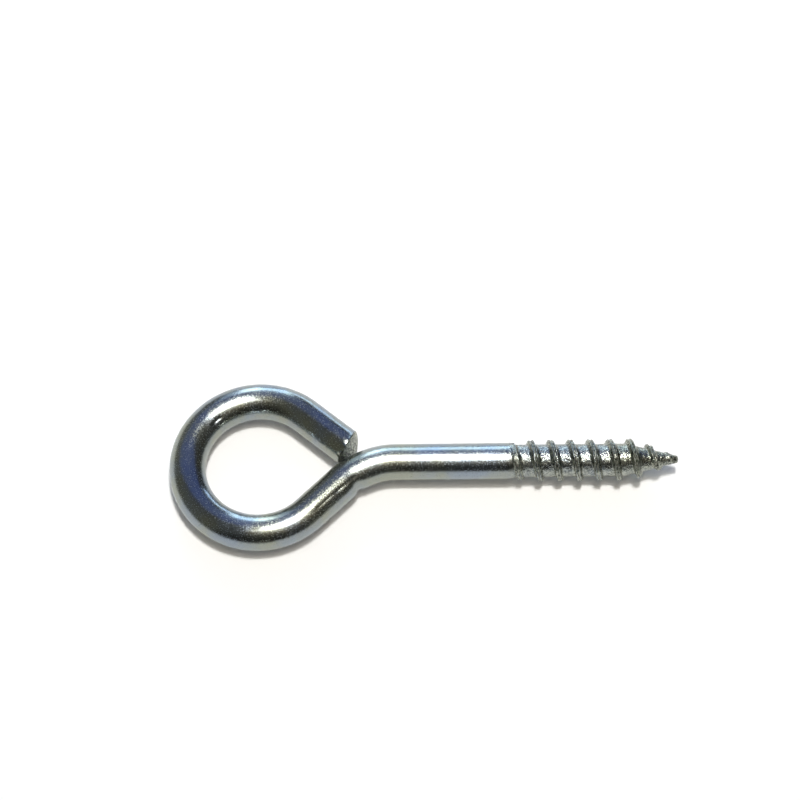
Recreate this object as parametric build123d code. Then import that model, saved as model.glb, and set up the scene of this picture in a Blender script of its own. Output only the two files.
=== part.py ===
from build123d import *
import math
import os

# A screw eye, bent and rolled from one length of steel wire. All sizes are in millimetres.
# It lies flat: the eye is in the XY plane with its centre at the origin, and the shank runs
# in the +X direction from the eye to the point. The +Y side of the eye ends in the cut tail.

# Wire and eye
wire_diameter = 2.95
eye_inner_diameter = 8.65

# Neck: the wire leaves the eye on a straight arm, then bends back in line with the shank,
# whose axis passes the eye's centre a little to the tail's side
neck_angle = 44.2
neck_bend_radius = 6.3
shank_offset = 0.26

# Tail: the other end of the wire, cut off just short of the neck
tail_angle = 39.8
tail_gap = 0.10
tail_cut_slant = 9.0

# Shank and thread, from the end of the neck to the point
plain_shank_length = 8.95
thread_length = 13.85
thread_pitch = 1.6
thread_major_diameter = 3.58
thread_root_diameter = 2.66
thread_crest_width = 0.26
thread_flank_angle = 26.0
thread_start_angle = -45.0
shoulder_length = 0.35
runout_length = 2.2

# Gimlet point: the root and the crest of the thread run down to a small flat
point_root_length = 4.25
point_crest_length = 3.5
point_flat_diameter = 0.55
point_bare_length = 0.7

# How far the rib of the thread is rooted below the surface it stands on, and how far it
# stands above the crest before that is turned down to size
rib_root_depth = 0.20
rib_turning_allowance = 0.03

# How far above the start of the point the rib changes from a straight coil to a tapering one
rib_joint_lead = 0.45


def polar(radius, degrees):
    """A point in the plane of the eye, from its distance and direction."""
    return Vector(radius * math.cos(math.radians(degrees)), radius * math.sin(math.radians(degrees)))


# ---- The path of the wire's centre line: eye, arm, neck and shank, each tangent to the next

wire_radius = wire_diameter / 2
eye_radius = eye_inner_diameter / 2 + wire_radius

neck_sin = math.sin(math.radians(neck_angle))
neck_cos = math.cos(math.radians(neck_angle))
arm_rise = shank_offset + eye_radius * neck_cos - neck_bend_radius * (1 - neck_cos)
arm_length = arm_rise / neck_sin
neck_end_x = (eye_radius + neck_bend_radius) * neck_sin + arm_length * neck_cos
neck_centre = Vector(neck_end_x, shank_offset - neck_bend_radius)
thread_start_x = neck_end_x + plain_shank_length

tail_out = polar(1, 90 - tail_angle)
tail_along = polar(1, -tail_angle)
tail_root = tail_out * eye_radius

eye_arc = CenterArc((0, 0), eye_radius, 90 - tail_angle, 180 + tail_angle + neck_angle)
arm_start = polar(eye_radius, neck_angle - 90)
arm = Line(arm_start, arm_start + polar(arm_length, neck_angle))
neck_arc = CenterArc(neck_centre, neck_bend_radius, 90 + neck_angle, -neck_angle)
shank = Line((neck_end_x, shank_offset), (thread_start_x, shank_offset))
wire_path = Wire([eye_arc.edge(), arm.edge(), neck_arc.edge(), shank.edge()])

wire_section = Plane(origin=wire_path @ 0, z_dir=wire_path % 0) * Circle(wire_radius)
bent_wire = sweep(wire_section, path=wire_path)

# ---- The tail: straight on from the eye until its inner corner is the gap away from the neck

corner_start = tail_out * (eye_radius - wire_radius) - neck_centre
corner_reach = neck_bend_radius + wire_radius + tail_gap
approach = -corner_start.dot(tail_along)
corner_miss = corner_start.length**2 - approach**2
tail_inner_length = approach - math.sqrt(corner_reach**2 - corner_miss)

tail_section = Plane(origin=tail_root, z_dir=tail_along) * Circle(wire_radius)
tail_blank = extrude(tail_section, amount=tail_inner_length + wire_radius)
tail_corner = tail_root - tail_out * wire_radius + tail_along * tail_inner_length
tail_cut = Plane(origin=tail_corner, z_dir=tail_along.rotate(Axis.Z, tail_cut_slant))
tail = split(tail_blank, bisect_by=tail_cut, keep=Keep.BOTTOM)

# ---- The threaded end, made standing on its own axis with the thread starting at z = 0

root_radius = thread_root_diameter / 2
major_radius = thread_major_diameter / 2
flat_radius = point_flat_diameter / 2
point_z = thread_length - point_root_length

core_outline = Polyline(
    (0, 0),
    (wire_radius, 0),
    (root_radius, shoulder_length),
    (root_radius, point_z),
    (flat_radius, thread_length),
    (0, thread_length),
    close=True,
)
core = revolve(Plane.XZ * make_face(core_outline), Axis.Z)

# The rib is one flat-topped ridge, coiled right-handed round the root and on down the point
rib_height = major_radius - root_radius
rib_top = rib_height + rib_turning_allowance
flank_slope = math.tan(math.radians(thread_flank_angle))
top_half_width = thread_crest_width / 2 - rib_turning_allowance * flank_slope
foot_half_width = thread_crest_width / 2 + (rib_height + rib_root_depth) * flank_slope
rib_outline = Polyline(
    (-rib_root_depth, -foot_half_width),
    (rib_top, -top_half_width),
    (rib_top, top_half_width),
    (-rib_root_depth, foot_half_width),
    close=True,
)
rib_section = Plane(origin=(root_radius, 0, 0), x_dir=(1, 0, 0), z_dir=(0, -1, 0)) * make_face(rib_outline)

# The straight coil ends while the root is still a cylinder. The tapering coil takes over
# there, on the line of the root's cone carried back to the joint
joint_z = point_z - rib_joint_lead
shank_helix = Helix(pitch=thread_pitch, height=joint_z, radius=root_radius)
shank_rib = sweep(rib_section, path=shank_helix, is_frenet=True)

point_slope = (root_radius - flat_radius) / point_root_length
joint_radius = root_radius + rib_joint_lead * point_slope
point_rib_section = Pos(joint_radius - root_radius, 0, 0) * rib_section
point_helix = Helix(
    pitch=thread_pitch,
    height=thread_length - point_bare_length - joint_z,
    radius=joint_radius,
    cone_angle=-math.degrees(math.atan(point_slope)),
)
point_rib = sweep(point_rib_section, path=point_helix, is_frenet=True)
point_rib = Pos(0, 0, joint_z) * Rot(0, 0, 360 * joint_z / thread_pitch) * point_rib


def turned_away(*outline):
    """The ring of material a lathe tool takes off, from its outline as (radius, z) points."""
    return revolve(Plane.XZ * make_face(Polyline(*outline, close=True)), Axis.Z)


# Turned down to size: the crest's cylinder, the rising run-out with everything before the
# start, and the crest's cone down to the point. Each cone runs on past the crest
scrap_radius = 2 * major_radius
clear_radius = major_radius + 0.10
runout_slope = (major_radius - wire_radius) / runout_length
crest_slope = (major_radius - flat_radius) / point_crest_length
runout_clear_z = (clear_radius - wire_radius) / runout_slope
crest_clear_z = thread_length - (clear_radius - flat_radius) / crest_slope

over_crest = turned_away(
    (major_radius, -thread_pitch),
    (major_radius, thread_length),
    (scrap_radius, thread_length),
    (scrap_radius, -thread_pitch),
)
over_runout = turned_away(
    (0, -thread_pitch),
    (0, 0),
    (wire_radius, 0),
    (clear_radius, runout_clear_z),
    (scrap_radius, runout_clear_z),
    (scrap_radius, -thread_pitch),
)
over_point = turned_away(
    (clear_radius, crest_clear_z),
    (flat_radius, thread_length),
    (scrap_radius, thread_length),
    (scrap_radius, crest_clear_z),
)

threaded_end = core + Rot(0, 0, thread_start_angle) * shank_rib
threaded_end = threaded_end + Rot(0, 0, thread_start_angle) * point_rib
threaded_end = threaded_end - over_crest - over_runout - over_point

# ---- The whole screw eye, one solid

shank_end = Plane(origin=(thread_start_x, shank_offset, 0), x_dir=(0, 1, 0), z_dir=(1, 0, 0))
screw_eye = bent_wire + tail + shank_end.location * threaded_end

os.makedirs("parts", exist_ok=True)
export_step(screw_eye, "parts/screw_eye.step")
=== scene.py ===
import bmesh
import bpy
import math
from mathutils import Matrix, Vector, noise


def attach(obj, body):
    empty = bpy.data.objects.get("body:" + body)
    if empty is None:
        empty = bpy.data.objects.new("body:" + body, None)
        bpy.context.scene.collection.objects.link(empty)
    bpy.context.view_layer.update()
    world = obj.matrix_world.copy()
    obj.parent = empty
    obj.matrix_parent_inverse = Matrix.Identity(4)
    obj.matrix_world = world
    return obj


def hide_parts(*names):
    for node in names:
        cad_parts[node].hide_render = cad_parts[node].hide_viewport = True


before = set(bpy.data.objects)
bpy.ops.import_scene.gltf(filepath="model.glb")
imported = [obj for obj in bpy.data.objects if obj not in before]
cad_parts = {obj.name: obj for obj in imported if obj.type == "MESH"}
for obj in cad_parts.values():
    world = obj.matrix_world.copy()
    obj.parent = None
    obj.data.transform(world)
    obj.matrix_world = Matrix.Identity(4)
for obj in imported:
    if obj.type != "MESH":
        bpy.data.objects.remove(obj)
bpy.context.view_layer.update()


# ---- The threaded end
# The end of the steel wire, rolled between flat dies: they squeeze the metal up out of the
# root into a coarse right-handed wood thread, whose crest keeps a fine groove where the two
# sides meet, and pinch the end down to a blunt gimlet point. All sizes are in millimetres.

wire_radius = 1.475
shank_offset = 0.26
thread_start = 20.095
tip_end = 33.945
pitch = 1.60
thread_phase = math.radians(45)
root_radius = 1.33
crest_radius = 1.78
shoulder_length = 0.9
runout_length = 2.2
point_root_length = 4.25
point_crest_length = 3.5
tip_radius = 0.275
last_crest = 0.55
crest_fade = 0.35

# Half of the rolled ridge, from the groove on its crest out to the middle of the root: how
# far along the axis, and how far up from the root (0) to the crest (1)
half_ridge = ((0.0, 0.68), (0.05, 0.76), (0.095, 0.97), (0.13, 1.0), (0.165, 0.86), (0.21, 0.50),
              (0.27, 0.23), (0.34, 0.08), (0.43, 0.01), (0.55, 0.0), (0.68, 0.0), (0.80, 0.0))
steps_a_turn = 72
turns = 12
turns_before = 2
weld = 0.004

# The dies leave the crest ragged and the whole thread pitted: the size of the lumps, the share
# of the ridge's height that they take, and how deep the pits are in the root and on the crest
rag_size = 0.45
rag_share = 0.20
pit_size = 0.28
pit_depth = 0.030
crest_pit_depth = 0.050
other_lumps = Vector((50, 0, 0))

# How much the dies have dulled the metal, from 0 to 1: the root, then what is added on the
# flanks of the ridge and towards the point
root_dulled = 0.48
flank_dulled = 0.45
point_dulled = 0.3

bm = bmesh.new()
along = bm.verts.layers.float.new("along")
around = bm.verts.layers.float.new("around")
rise = bm.verts.layers.float.new("rise")
worked = bm.verts.layers.float.new("worked")
drawn = bm.verts.layers.float_vector.new("drawn")

ridge = [(-s, h) for s, h in reversed(half_ridge[1:])] + list(half_ridge)
first_crest = thread_start + pitch * (thread_phase / math.tau - turns_before)
outline = []
for s, h in ridge:
    v = bm.verts.new((first_crest + s, shank_offset + root_radius, 0))
    v[rise] = h
    outline.append(v)
edges = [bm.edges.new(pair) for pair in zip(outline, outline[1:])]
bmesh.ops.spin(bm, geom=outline + edges, cent=(0, shank_offset, 0), axis=(1, 0, 0),
               dvec=(pitch / steps_a_turn, 0, 0), angle=math.tau * turns,
               steps=steps_a_turn * turns)
bmesh.ops.remove_doubles(bm, verts=bm.verts, dist=weld)

# Cut off square where it joins the plain shank, and just short of its rounded tip
join = thread_start - 0.05
tip_ring = tip_end - 0.13
for place, away in ((join, -1), (tip_ring, 1)):
    bmesh.ops.bisect_plane(bm, geom=bm.verts[:] + bm.edges[:] + bm.faces[:],
                           plane_co=(place, 0, 0), plane_no=(away, 0, 0), clear_outer=True)


def ramp(value, low, high):
    """0 below low, 1 above high and a straight line between."""
    return min(1, max(0, (value - low) / (high - low)))


def uneven(place, size):
    """A smooth random value from about -1 to 1 whose lumps are about size across."""
    return noise.noise(place / size) * 1.6


for v in bm.verts:
    x = v.co.x - thread_start
    from_tip = tip_end - v.co.x
    out = Vector((0, v.co.y - shank_offset, v.co.z)).normalized()
    shoulder = ramp(x, 0, shoulder_length)
    root = wire_radius + (root_radius - wire_radius) * shoulder * shoulder * (3 - 2 * shoulder)
    root = min(root, tip_radius + (root_radius - tip_radius) * from_tip / point_root_length)
    crest = wire_radius + (crest_radius - wire_radius) * ramp(x, 0, runout_length)
    crest = min(crest, tip_radius + (crest_radius - tip_radius) * from_tip / point_crest_length)
    height = max(0, crest - root) * ramp(from_tip, last_crest, last_crest + crest_fade)
    spot = Vector((v.co.x, out.y, out.z))
    ragged = 0.5 + 0.5 * uneven(spot, rag_size)
    pitted = 0.5 + 0.5 * uneven(spot + other_lumps, pit_size)
    rolled = ramp(x, -0.05, 0.6)
    radius = root + v[rise] * height * (1 - rag_share * ragged)
    radius -= rolled * (pit_depth + crest_pit_depth * v[rise]) * pitted
    flank = ramp(v[rise], 0, 0.25) - ramp(v[rise], 0.8, 0.97)
    near_point = 1 - ramp(from_tip, 0.8, 3.0)
    v[worked] = rolled * (root_dulled + flank_dulled * flank + point_dulled * near_point)
    v[around] = math.atan2(-out.y, out.z)
    v.co = Vector((v.co.x, shank_offset, 0)) + out * radius


def open_loop(x):
    """The open edges that stand at x along the shank."""
    return [e for e in bm.edges
            if e.is_boundary and all(abs(v.co.x - x) < 0.01 for v in e.verts)]


def extrude_ring(ring):
    """Extrudes an open ring of edges on the spot, and gives the new ring and its vertices."""
    made = bmesh.ops.extrude_edge_only(bm, edges=ring)["geom"]
    verts = [g for g in made if isinstance(g, bmesh.types.BMVert)]
    fresh = set(verts)
    edges = [g for g in made if isinstance(g, bmesh.types.BMEdge) and fresh.issuperset(g.verts)]
    return edges, verts


def close_end(ring, direction, steps):
    """Draws an open ring in to a point, by steps of how much smaller and how far on."""
    for size, advance in steps:
        ring, verts = extrude_ring(ring)
        centre = sum((v.co for v in verts), Vector()) / len(verts)
        bmesh.ops.scale(bm, verts=verts, vec=(size, size, size),
                        space=Matrix.Translation(-centre))
        bmesh.ops.translate(bm, verts=verts, vec=direction * advance)
        for v in verts:
            v[worked] = 1
    bmesh.ops.pointmerge(bm, verts=verts, merge_co=centre + direction * advance)


tip_steps = ((0.92, 0.05), (0.80, 0.04), (0.6, 0.025), (0.5, 0.01), (0.3, 0.004))
close_end(open_loop(tip_ring), Vector((1, 0, 0)), tip_steps)


# ---- The eye and the shank
# The same wire, bright low-carbon steel cut off a coil, bent cold round a pin into the eye and
# back over a small die at the neck. The die leaves a pinch inside the neck and a scored line
# down the arm. Nippers cut the tail on a slant, and leave a blunt ridge and burrs on its end.

eye_radius = 5.80
neck_angle = math.radians(44.2)
neck_radius = 6.30
tail_angle = math.radians(39.8)
tail_gap = 0.10
cut_slant = math.radians(9.0)
ring_vertices = 180
ring_spacing = 0.16

arm_along = Vector((math.cos(neck_angle), math.sin(neck_angle), 0))
arm_rise = shank_offset + eye_radius * math.cos(neck_angle)
arm_rise -= neck_radius * (1 - math.cos(neck_angle))
arm_length = arm_rise / math.sin(neck_angle)
neck_end = (eye_radius + neck_radius) * math.sin(neck_angle) + arm_length * math.cos(neck_angle)
neck_centre = Vector((neck_end, shank_offset - neck_radius, 0))
tail_out = Vector((math.sin(tail_angle), math.cos(tail_angle), 0))
tail_along = Vector((math.cos(tail_angle), -math.sin(tail_angle), 0))


# The wire is grown ring by ring. Each vertex keeps how far along the wire it is, and where
# it is round the wire: 0 on top, a quarter turn at the right-hand side of the way to the point
def grow_straight(ring, direction, length, way=1, spacing=ring_spacing):
    """Extrudes an open ring of edges in a straight line and returns the new open ring."""
    steps = max(1, round(length / spacing))
    for _ in range(steps):
        ring, verts = extrude_ring(ring)
        bmesh.ops.translate(bm, verts=verts, vec=direction * (length / steps))
        for v in verts:
            v[along] += way * length / steps
    return ring


def grow_bend(ring, centre, radius, angle):
    """Spins an open ring of edges round a bend's centre and returns the new open ring."""
    steps = max(1, round(abs(angle) * radius / ring_spacing))
    for _ in range(steps):
        made = bmesh.ops.spin(bm, geom=ring, cent=centre, axis=(0, 0, 1),
                              angle=angle / steps, steps=1)
        ring = [g for g in made["geom_last"] if isinstance(g, bmesh.types.BMEdge)]
        for v in {v for e in ring for v in e.verts}:
            v[along] += abs(angle) * radius / steps
    return ring


# The first ring stands where the eye begins and the straight tail ends
first = bmesh.ops.create_circle(bm, segments=ring_vertices, radius=wire_radius)["verts"]
for v in first:
    v[around] = math.atan2(v.co.y, v.co.x)
towards_eye = -tail_along
right_of_way = towards_eye.cross(Vector((0, 0, 1)))
stand = Matrix((Vector((0, 0, 1)), right_of_way, towards_eye)).transposed().to_4x4()
bmesh.ops.transform(bm, verts=first, matrix=Matrix.Translation(tail_out * eye_radius) @ stand)
first_ring = list(dict.fromkeys(e for v in first for e in v.link_edges))

eye_angle = math.pi + tail_angle + neck_angle
eye_length = eye_radius * eye_angle
neck_start = eye_length + arm_length
shank_start = neck_start + neck_radius * neck_angle
ring = grow_bend(first_ring, (0, 0, 0), eye_radius, eye_angle)
ring = grow_straight(ring, arm_along, arm_length)
ring = grow_bend(ring, neck_centre, neck_radius, -neck_angle)
bridge_length = 0.1
ring = grow_straight(ring, Vector((1, 0, 0)), join - bridge_length - neck_end)
bmesh.ops.bridge_loops(bm, edges=ring + open_loop(join))

# The tail runs back the other way, to a slanted cut just short of the neck. Its last
# stretch has closer rings, which turn little by little into the plane of the cut
cut_reach = 0.55
cut_spacing = 0.05
rim_depth = 0.08
cut_steps = ((0.995, 0.03), (0.98, 0.03), (0.96, 0.015), (0.94, 0.005), (0.92, 0.0),
             (0.88, 0.0), (0.8, 0.0), (0.7, 0.0), (0.5, 0.0))

corner = tail_out * (eye_radius - wire_radius) - neck_centre
approach = -corner.dot(tail_along)
reach = neck_radius + wire_radius + tail_gap
tail_length = approach - math.sqrt(reach ** 2 - (corner.length_squared - approach ** 2))
cut_point = tail_out * (eye_radius - wire_radius) + tail_along * tail_length
cut_normal = Matrix.Rotation(cut_slant, 3, "Z") @ tail_along
ring = grow_straight(first_ring, tail_along, tail_length - cut_reach, way=-1)
cut_start = set(bm.verts)
ring = grow_straight(ring, tail_along, cut_reach, way=-1, spacing=cut_spacing)
cut_side = [v for v in bm.verts if v not in cut_start]
for v in cut_side:
    left_over = tail_length + v[along]
    to_cut = (cut_point - v.co).dot(cut_normal) / tail_along.dot(cut_normal)
    v.co += tail_along * (to_cut - left_over - rim_depth) * (1 - left_over / cut_reach)
rim = set(bm.verts)
close_end(ring, cut_normal, cut_steps)

# The nippers close on it from both sides and leave a blunt upright ridge, further out below.
# They drag the skin over the edge in one place and leave burrs in three: where they are round
# the tail and how wide, in degrees, and how far they stand out
ridge_height = 0.36
ridge_lean = 0.22
rim_dulled = 0.3
edge_marks = ((95, 8, -0.07), (108, 4, 0.04), (136, 5, 0.14), (152, 4, 0.10))
cut_verts = [v for v in bm.verts if v not in rim] + cut_side
for v in cut_verts:
    across = (v.co - tail_out * eye_radius).dot(tail_out) / wire_radius
    height = v.co.z / wire_radius
    out = tail_out * across + Vector((0, 0, height))
    near = ramp((v.co - cut_point).dot(cut_normal), -cut_reach, -rim_depth)
    v.co += tail_along * (near * (ridge_height * (1 - across * across) - ridge_lean * height))
    v[worked] = max(v[worked], rim_dulled * near ** 3)
    on_rim = ramp(out.length, 0.86, 0.98) * near ** 3
    for side, width, lift in edge_marks:
        off = (math.degrees(math.atan2(height, across)) - side) / width
        v.co += out * (lift * math.exp(-off * off) * on_rim)

bmesh.ops.recalc_face_normals(bm, faces=bm.faces[:])
bm.normal_update()

# Marks of the tools: where along the wire, half their length, how square their ends are,
# where round the wire and half their width in degrees, and how deep
nick_place = eye_radius * (math.radians(134 - 90) + tail_angle)
marks = (
    (neck_start + 0.80, 0.50, 2, 88, 46, 0.20),    # the pinch inside the neck
    (neck_start - 0.20, 1.20, 6, 29, 5, 0.045),    # the scored line, near the neck
    (neck_start - 2.00, 1.50, 6, 25, 5, 0.045),    # and further down the arm
    (nick_place, 0.60, 6, -34, 5.5, 0.08),         # a nick inside the eye
)
mark_dulled = 0.10

# The wire is a little uneven, and everywhere just inside its full size
skin_depth = 0.008
skin_uneven = 0.004
skin_lumps = 1.4
up = Vector((0, 0, 1))
for v in bm.verts:
    if v.co.x > thread_start:
        v[along] = shank_start + v.co.x - neck_end
        v[drawn] = (1, 0, 0)
        continue
    if v[along] <= 0:
        v[drawn] = tail_along
    elif v[along] <= eye_length:
        v[drawn] = up.cross(v.co).normalized()
    elif v[along] <= neck_start:
        v[drawn] = arm_along
    elif v[along] <= shank_start:
        v[drawn] = (v.co - neck_centre).cross(up).normalized()
    else:
        v[drawn] = (1, 0, 0)
    depth = skin_depth + skin_uneven * uneven(v.co, skin_lumps)
    for where, half_length, squareness, side, half_width, deepest in marks:
        a = (v[along] - where) / half_length
        b = math.degrees(math.remainder(v[around] - math.radians(side), math.tau)) / half_width
        amount = math.exp(-abs(a) ** squareness - b * b)
        depth += amount * deepest
        v[worked] = max(v[worked], mark_dulled * amount)
    v.co -= v.normal * depth

bmesh.ops.scale(bm, verts=bm.verts, vec=(0.001, 0.001, 0.001))
eye_mesh = bpy.data.meshes.new("screw_eye_wire")
bm.to_mesh(eye_mesh)
bm.free()
for p in eye_mesh.polygons:
    p.use_smooth = True
eye = bpy.data.objects.new("screw_eye_wire", eye_mesh)
bpy.context.scene.collection.objects.link(eye)
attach(eye, "root")
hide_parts("screw_eye")


# Bright zinc plating with a clear bluish passivate: mirror-like but a little hazy from its fine
# crystal grain, with faint blue and straw clouds, and duller where the dies worked the metal
def linear(hex_colour):
    """The linear colour of an sRGB hex value."""
    parts = [int(hex_colour[i:i + 2], 16) / 255 for i in (1, 3, 5)]
    return [p / 12.92 if p <= 0.04045 else ((p + 0.055) / 1.055) ** 2.4 for p in parts] + [1]


def add(tree, kind, inputs=None, **settings):
    """Adds a node with its settings; an input is given a value or another node's output."""
    made = tree.nodes.new("ShaderNode" + kind)
    for name, value in settings.items():
        setattr(made, name, value)
    for socket, value in (inputs or {}).items():
        if isinstance(value, bpy.types.NodeSocket):
            tree.links.new(value, made.inputs[socket])
        else:
            made.inputs[socket].default_value = value
    return made


zinc = bpy.data.materials.new("zinc_plated_steel")
zinc.use_nodes = True
tree = zinc.node_tree
tree.nodes.clear()
place = add(tree, "TexCoord").outputs["Object"]
scale = add(tree, "Mapping", {"Vector": place, "Scale": (1000, 1000, 1000)})
millimetres = scale.outputs["Vector"]
worked_metal = add(tree, "Attribute", attribute_name="worked").outputs["Fac"]

# Clouds of blue and straw on the smooth wire, and dark and light flecks where it is worked
cloud_size = 3.5
clouds = add(tree, "TexNoise", {"Vector": millimetres, "Scale": 1 / cloud_size,
                                "Detail": 3, "Roughness": 0.6})
cloud_edge = add(tree, "MapRange", {"Value": clouds.outputs["Fac"],
                                    "From Min": 0.38, "From Max": 0.62})
tint = add(tree, "Mix", {0: cloud_edge.outputs[0], 6: linear("#8D97A1"), 7: linear("#979B90")},
           data_type="RGBA")
speckle_size = 0.16
speckle = add(tree, "TexNoise", {"Vector": millimetres, "Scale": 1 / speckle_size,
                                 "Detail": 2, "Roughness": 0.6})
speckle_edge = add(tree, "MapRange", {"Value": speckle.outputs["Fac"],
                                      "From Min": 0.38, "From Max": 0.62})
dull = add(tree, "Mix", {0: speckle_edge.outputs[0], 6: linear("#2C312A"), 7: linear("#C6C9BA")},
           data_type="RGBA")
colour = add(tree, "Mix", {0: worked_metal, 6: tint.outputs[2], 7: dull.outputs[2]},
             data_type="RGBA")

# Electroplated grain is a few hundredths of a millimetre across: drawn at 0.1 mm, to show.
# Smooth crystals give the sharp reflections and rough ones the haze beside them
grain_size = 0.10
grain_depth = 0.000003
grain = add(tree, "TexNoise", {"Vector": millimetres, "Scale": 1 / grain_size,
                               "Detail": 1, "Roughness": 0.5})
grain_bump = add(tree, "Bump", {"Height": grain.outputs["Fac"], "Strength": 1,
                                "Distance": grain_depth})
haze = add(tree, "MapRange", {"Value": grain.outputs["Fac"], "From Min": 0.40, "From Max": 0.68,
                              "To Min": 0.16, "To Max": 0.28})

# The dies and nippers leave the metal torn and dimpled, and rougher the harder they worked it
dimple_size = 0.25
dimple_depth = 0.00014
dimples = add(tree, "TexNoise", {"Vector": millimetres, "Scale": 1 / dimple_size,
                                 "Detail": 3, "Roughness": 0.6})
dimpled = add(tree, "Math", {0: dimples.outputs["Fac"], 1: worked_metal}, operation="MULTIPLY")
bump = add(tree, "Bump", {"Height": dimpled.outputs[0], "Strength": 1, "Distance": dimple_depth,
                          "Normal": grain_bump.outputs["Normal"]})
rough = add(tree, "MapRange", {"Value": worked_metal, "From Min": 0.4,
                               "To Min": 0.24, "To Max": 0.32})
roughness = add(tree, "Mix", {0: worked_metal, 2: haze.outputs[0], 3: rough.outputs[0]})

# The drawing die leaves fine lines along the wire, which spread its highlights round the wire
wire_run = add(tree, "Attribute", attribute_name="drawn").outputs["Vector"]
wire_run = add(tree, "VectorTransform", {"Vector": wire_run}, vector_type="VECTOR",
               convert_from="OBJECT", convert_to="WORLD")
shader = add(tree, "BsdfPrincipled", {"Base Color": colour.outputs[2], "Metallic": 1,
                                      "Roughness": roughness.outputs[0],
                                      "Anisotropic": 0.75, "Anisotropic Rotation": 0.25,
                                      "Tangent": wire_run.outputs[0],
                                      "Normal": bump.outputs["Normal"]})
add(tree, "OutputMaterial", {"Surface": shader.outputs[0]})
eye_mesh.materials.append(zinc)


# ---- The floor
# A sheet of plain white card. The eye lies on it on the underside of the ring and on the
# crest of the thread, which stands out a little further than the wire.

last_full_crest = 30.5
clearance = 0.01
floor_radius = 1.5
lean = math.atan((crest_radius + clearance - wire_radius) / (last_full_crest + eye_radius))
floor_height = -(wire_radius + eye_radius * math.sin(lean)) * 0.001
floor_tilt = Matrix.Rotation(lean, 4, "Y")
bm = bmesh.new()
bmesh.ops.create_circle(bm, cap_ends=True, segments=64, radius=floor_radius)
bmesh.ops.transform(bm, verts=bm.verts,
                    matrix=floor_tilt @ Matrix.Translation((0, 0, floor_height)))
floor_mesh = bpy.data.meshes.new("floor")
bm.to_mesh(floor_mesh)
bm.free()
floor = bpy.data.objects.new("floor", floor_mesh)
bpy.context.scene.collection.objects.link(floor)

# Matt white card, which diffuses the light evenly. A faint glow, which is seen and mirrored
# but lights nothing, brings it up to plain white
card_glow = 0.07
card = bpy.data.materials.new("white_card")
card.use_nodes = True
tree = card.node_tree
tree.nodes.clear()
rays = add(tree, "LightPath").outputs
seen = add(tree, "Math", {0: rays["Is Camera Ray"], 1: rays["Is Glossy Ray"]}, operation="ADD")
seen = add(tree, "Math", {0: seen.outputs[0], 1: rays["Is Transmission Ray"]}, operation="ADD")
glow = add(tree, "Math", {0: seen.outputs[0], 1: card_glow}, operation="MULTIPLY")
paper = add(tree, "BsdfDiffuse", {"Color": linear("#FCFCFB")})
light = add(tree, "Emission", {"Color": (1, 1, 1, 1), "Strength": glow.outputs[0]})
both = add(tree, "AddShader", {0: paper.outputs[0], 1: light.outputs[0]})
add(tree, "OutputMaterial", {"Surface": both.outputs[0]})
floor_mesh.materials.append(card)


# ---- Light
# Three soft panels hang nearly overhead round a small bright one, which throws the shadow. A
# dim blue sky and tall pale windows stand on the far side, and the wire mirrors them all.

lamp_distance = 0.40
lamp_centre = Vector((0.008, 0, 0))


def lamp(name, right, away, width, height, colour, radiance, shape="ELLIPSE"):
    """A soft panel that faces the eye. Right and away are degrees from straight overhead."""
    towards = Vector((math.tan(math.radians(right)), math.tan(math.radians(away)), 1))
    towards.normalize()
    side = (Vector((1, 0, 0)) - towards * towards.x).normalized()
    data = bpy.data.lights.new(name, "AREA")
    data.shape = shape
    data.size = 2 * lamp_distance * math.tan(math.radians(width / 2))
    data.size_y = 2 * lamp_distance * math.tan(math.radians(height / 2))
    area = data.size * data.size_y * (math.pi / 4 if shape == "ELLIPSE" else 1)
    data.color = linear(colour)[:3]
    data.energy = radiance * math.pi * area
    o = bpy.data.objects.new(name, data)
    bpy.context.scene.collection.objects.link(o)
    turn = Matrix((side, towards.cross(side), towards)).transposed().to_4x4()
    o.matrix_world = Matrix.Translation(towards * lamp_distance + lamp_centre) @ turn
    o.visible_camera = False


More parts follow.
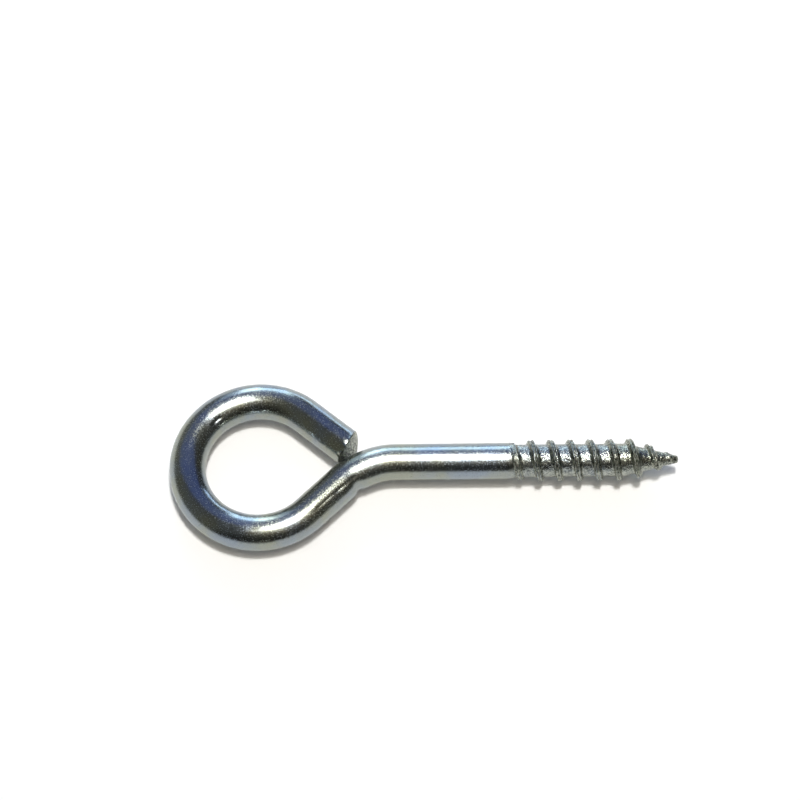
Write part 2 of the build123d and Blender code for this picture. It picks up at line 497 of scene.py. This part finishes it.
lamp("overhead_far", 1, 8, 8, 22, "#FFF9EE", 5)
lamp("overhead_near", 5, -8, 23, 15, "#FFF9EE", 5)
lamp("overhead_right", 9, 1, 13, 13, "#FFF9EE", 5)
lamp("overhead_middle", 4, 5, 8, 8, "#FFFEFC", 125)
lamp("overhead_shade", 14, -18, 50, 42, "#D8B898", 0.2)
lamp("sky", 0, 38, 90, 46, "#5A78C8", 0.5)
lamp("sky_light", -1, 50, 14, 22, "#C0CCD8", 0.4)
lamp("window", 0, 70, 15, 22, "#D0E8FA", 4.0, "RECTANGLE")
lamp("window_edge", -24, 68, 7, 28, "#E0F0FC", 4.5, "RECTANGLE")
lamp("window_left", -40, 69, 8, 28, "#B8CCE4", 1.2, "RECTANGLE")
lamp("window_right", 69, 82, 30, 11, "#D4E8FF", 3.6, "RECTANGLE")
lamp("far_wall", -70, 68, 50, 28, "#A8B4C8", 0.15, "RECTANGLE")

# The room round it: dim, a little lighter on the left and dark where the viewer stands
world = bpy.data.worlds.new("studio")
bpy.context.scene.world = world
world.use_nodes = True
tree = world.node_tree
tree.nodes.clear()
direction = add(tree, "TexCoord").outputs["Generated"]
towards = add(tree, "SeparateXYZ", {"Vector": direction})
left = add(tree, "MapRange", {"Value": towards.outputs["X"],
                              "From Min": -0.25, "From Max": -0.75})
viewer = add(tree, "MapRange", {"Value": towards.outputs["Y"],
                                "From Min": -0.55, "From Max": -0.85})
room = add(tree, "Mix", {0: left.outputs[0], 6: linear("#4C4B43"), 7: linear("#6E6E64")},
           data_type="RGBA")
room = add(tree, "Mix", {0: viewer.outputs[0], 6: room.outputs[2], 7: linear("#1C1D18")},
           data_type="RGBA")
background = add(tree, "Background", {"Color": room.outputs[2], "Strength": 1})
add(tree, "OutputWorld", {"Surface": background.outputs[0]})


# ---- Camera
# It looks down on the screw eye from the viewer's side, turned a little with it.

look_at = Vector((11.450, 6.648, -1.625)) * 0.001
looks_down = math.radians(64.167)
camera_distance = 0.180
object_tilt = math.radians(0.497)
object_turn = math.radians(-0.444)
camera_data = bpy.data.cameras.new("camera")
camera = bpy.data.objects.new("camera", camera_data)
bpy.context.scene.collection.objects.link(camera)
camera_data.lens = 97.53
camera_data.sensor_width = 36
camera_data.clip_start = 0.01
camera_data.clip_end = 10
camera.matrix_world = (Matrix.Translation(look_at)
                       @ Matrix.Rotation(object_tilt, 4, "Y")
                       @ Matrix.Rotation(object_turn, 4, "Z")
                       @ Matrix.Rotation(math.radians(90) - looks_down, 4, "X")
                       @ Matrix.Translation((0, 0, camera_distance)))
bpy.context.scene.camera = camera
bpy.context.scene.view_settings.view_transform = "Standard"
